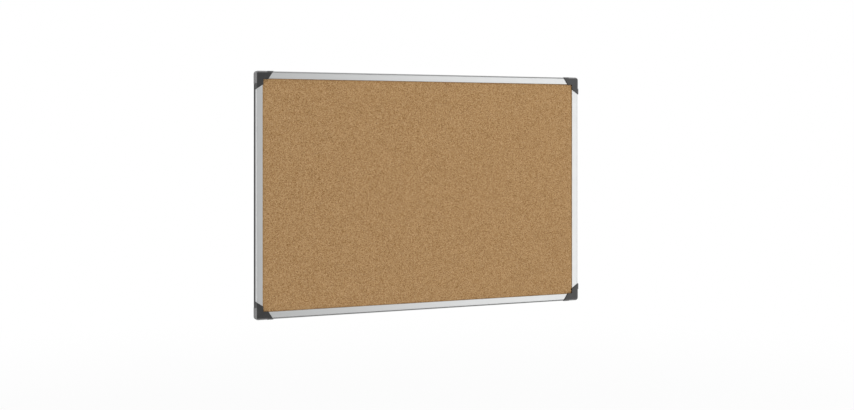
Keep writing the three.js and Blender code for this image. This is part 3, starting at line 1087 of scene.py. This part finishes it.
def makeFleckMaterial():
    material, tree, shader, place = newMaterial("cork_bark", Roughness=fleck["roughness"])
    noise = noiseOf(tree, place, fleck["mottle"], 3)
    colour = rampOf(tree, noise, fleck["tones"])
    tree.links.new(colour, shader.inputs["Base Color"])
    addBump(tree, shader, noise, fleck["bump"], fleck["bumpDepth"])
    return material


# Thin chips of bark lying in the surface
def makeFleckTree():
    tree, given = newTree("barkFlecks", {
        "Density": "Float", "Smallest": "Float", "Largest": "Float", "Thickness": "Float",
        "Seed": "Int", "Material": "Material"})
    scattered = addNode(tree, "GeometryNodeDistributePointsOnFaces", {
        "Mesh": given["Geometry"], "Density": given["Density"], "Seed": given["Seed"]},
        distribute_method="RANDOM")
    chip = addNode(tree, "GeometryNodeMeshIcoSphere", {"Radius": 1.0, "Subdivisions": 1})
    sizes = []
    for offset in (1, 2):
        sizes.append(addNode(tree, "FunctionNodeRandomValue", {
            2: given["Smallest"], 3: given["Largest"],
            "Seed": calc(tree, "ADD", given["Seed"], offset)}, data_type="FLOAT").outputs[1])
    turn = addNode(tree, "FunctionNodeRandomValue", {
        2: 0.0, 3: 2 * math.pi, "Seed": given["Seed"]}, data_type="FLOAT").outputs[1]
    chips = addNode(tree, "GeometryNodeInstanceOnPoints", {
        "Points": scattered.outputs["Points"], "Instance": chip.outputs["Mesh"],
        "Rotation": alongZ(tree, turn),
        "Scale": addNode(tree, "ShaderNodeCombineXYZ", {
            "X": sizes[0], "Y": sizes[1], "Z": given["Thickness"]}).outputs[0]})
    closeTree(tree, chips.outputs["Instances"], given["Material"])
    return tree


def makeFlecks():
    material = makeFleckMaterial()
    border = 2 * (rail["faceWidth"] + fleck["margin"])
    level = nodeSpan("cork_sheet")["front"] - cork["relief"] / 2
    field = flatSheet(board["width"] - border, board["height"] - border, level)
    mesh = growMesh(makeFleckTree(), field, {
        "Density": fleck["density"], "Smallest": fleck["smallest"], "Largest": fleck["largest"],
        "Thickness": fleck["thickness"], "Seed": fleck["seed"], "Material": material})
    placePiece("cork_bark_flecks", mesh, material, toMetres @ standUp, "board", [])


makeFlecks()
print("panel made")

studio = {
    "fillLevel": 0.55,  # light of the pale room on matt surfaces
    "fillTilt": (-1.0, 0.1, 0.9),  # and the way from which it is stronger
    "floorHeight": -0.95,
    "floorMatt": 0.25,  # share of the floor that takes the object's shadow
    "floorGlow": 0.98,
    "floorSize": 14,
    "floorTone": 0.8,
    "floorFade": (1.5, 4.5),  # from the middle, where the floor turns into the backdrop
    # how bright the room looks in a reflection: degrees from straight in front, to the right
    "horizon": [(-180, 0.35), (-163, 0.02), (-130, 0.14), (-100, 0.32), (-73, 0.5),
                (-45, 0.72), (-15, 1.1), (5, 0.5), (16, 0.25), (24, 1.06), (31, 1.4),
                (45, 0.98), (70, 0.8), (110, 0.9), (150, 0.8), (180, 0.35)],
    # the same straight down, below, above and straight up
    "poles": [(-1.0, 0.5), (-0.75, 0.15), (-0.5, 0.12), (0.45, 0.18), (0.72, 0.25), (1.0, 0.9)],
    # how much of the poles shows at a height
    "poleShare": [(-0.5, 1.0), (-0.25, 0.0), (0.22, 0.0), (0.45, 1.0)],
    "behind": 0.55,  # the poles as seen behind the board
    "behindFade": (0.3, 0.7),
    "lamp": {
        "place": (1.1, -2.0, 1.2), "aim": (0.1, 0, 0), "width": 1.4, "height": 1.1, "power": 17},
    "camera": {
        "place": (-1.3059, -2.917, 0.1467), "turn": -24.27, "lens": 52.53, "shiftUp": -0.0825},
}


def makeWorld():
    world = bpy.data.worlds.new("studio")
    world.use_nodes = True
    world.cycles.sampling_method = "NONE"
    tree = world.node_tree
    tree.nodes.clear()
    towards = addNode(tree, "ShaderNodeTexCoord").outputs["Generated"]
    direction = addNode(tree, "ShaderNodeSeparateXYZ", {"Vector": towards}).outputs
    turn = calc(tree, "ARCTAN2", direction["X"], calc(
        tree, "MULTIPLY", direction["Y"], -1))
    around = rampOf(
        tree, calc(tree, "MULTIPLY_ADD", turn, 0.5 / math.pi, 0.5),
        [((degrees + 180) / 360, grey(level)) for degrees, level in studio["horizon"]])
    height = calc(tree, "MULTIPLY_ADD", direction["Z"], 0.5, 0.5)
    upDown, share = [
        rampOf(tree, height, [((at + 1) / 2, grey(level)) for at, level in studio[name]])
        for name in ("poles", "poleShare")]
    atBack = rangeOf(tree, direction["Y"], *studio["behindFade"], 0.0, 1.0)
    upDown = mixColours(tree, atBack, upDown, (*grey(studio["behind"]), 1))
    room = mixColours(tree, share, around, upDown)
    rays = addNode(tree, "ShaderNodeLightPath").outputs
    backdrop = mixColours(tree, rays["Is Glossy Ray"], (1, 1, 1, 1), room)
    seen = calc(tree, "ADD", rays["Is Camera Ray"], calc(
        tree, "ADD", rays["Is Glossy Ray"], rays["Is Transmission Ray"]))
    tilt = addNode(tree, "ShaderNodeVectorMath", {
        0: towards, 1: studio["fillTilt"]}, operation="DOT_PRODUCT")
    fill = calc(tree, "MAXIMUM", 0.0, calc(
        tree, "ADD", tilt.outputs["Value"], studio["fillLevel"]))
    light = mixColours(tree, seen, fill, backdrop)
    background = addNode(tree, "ShaderNodeBackground", {"Color": light, "Strength": 1.0})
    addNode(tree, "ShaderNodeOutputWorld", {"Surface": background.outputs["Background"]})
    bpy.context.scene.world = world


# The floor runs out into the white backdrop
def makeFloor():
    floor = newHolder("studioFloor", flatSheet(
        studio["floorSize"], studio["floorSize"], studio["floorHeight"]))
    material = bpy.data.materials.new("pale_floor")
    material.use_nodes = True
    tree = material.node_tree
    tree.nodes.clear()
    place = addNode(tree, "ShaderNodeTexCoord").outputs["Object"]
    flat = addNode(tree, "ShaderNodeVectorMath", {0: place, 1: (1, 1, 0)}, operation="MULTIPLY")
    away = addNode(tree, "ShaderNodeVectorMath", {0: flat.outputs[0]}, operation="LENGTH")
    mattShare = rangeOf(
        tree, away.outputs["Value"], *studio["floorFade"], studio["floorMatt"], 0.0)
    glow = rangeOf(tree, away.outputs["Value"], *studio["floorFade"], studio["floorGlow"], 1.0)
    matt = addNode(tree, "ShaderNodeBsdfDiffuse", {"Color": (*grey(studio["floorTone"]), 1)})
    white = addNode(tree, "ShaderNodeEmission", {"Color": (1, 1, 1, 1), "Strength": glow})
    rays = addNode(tree, "ShaderNodeLightPath").outputs
    seen = calc(tree, "ADD", rays["Is Camera Ray"], rays["Is Transmission Ray"])
    glowShare = calc(tree, "MULTIPLY", seen, calc(tree, "SUBTRACT", 1.0, mattShare))
    blend = addNode(tree, "ShaderNodeMixShader", {
        0: glowShare, 1: matt.outputs[0], 2: white.outputs[0]})
    addNode(tree, "ShaderNodeOutputMaterial", {"Surface": blend.outputs[0]})
    floor.data.materials.append(material)
    floor.visible_glossy = False


# The lamp lights matt surfaces only: glossy ones show the room
def makeLamp():
    wanted = studio["lamp"]
    lamp = newHolder("keyLamp", bpy.data.lights.new("keyLamp", "AREA"))
    lamp.data.shape = "RECTANGLE"
    lamp.data.size = wanted["width"]
    lamp.data.size_y = wanted["height"]
    lamp.data.energy = wanted["power"]
    lamp.location = wanted["place"]
    direction = Vector(wanted["aim"]) - lamp.location
    lamp.rotation_euler = direction.to_track_quat("-Z", "Y").to_euler()
    lamp.visible_camera = False
    lamp.visible_glossy = False


def makeCamera():
    wanted = studio["camera"]
    camera = newHolder("camera", bpy.data.cameras.new("camera"))
    camera.location = wanted["place"]
    camera.rotation_euler = (math.pi / 2, 0, math.radians(wanted["turn"]))
    camera.data.lens = wanted["lens"]
    camera.data.sensor_width = 36
    camera.data.shift_y = wanted["shiftUp"]
    bpy.context.scene.camera = camera


makeWorld()
makeFloor()
makeLamp()
makeCamera()
bpy.context.scene.view_settings.view_transform = "Standard"
print("studio ready")
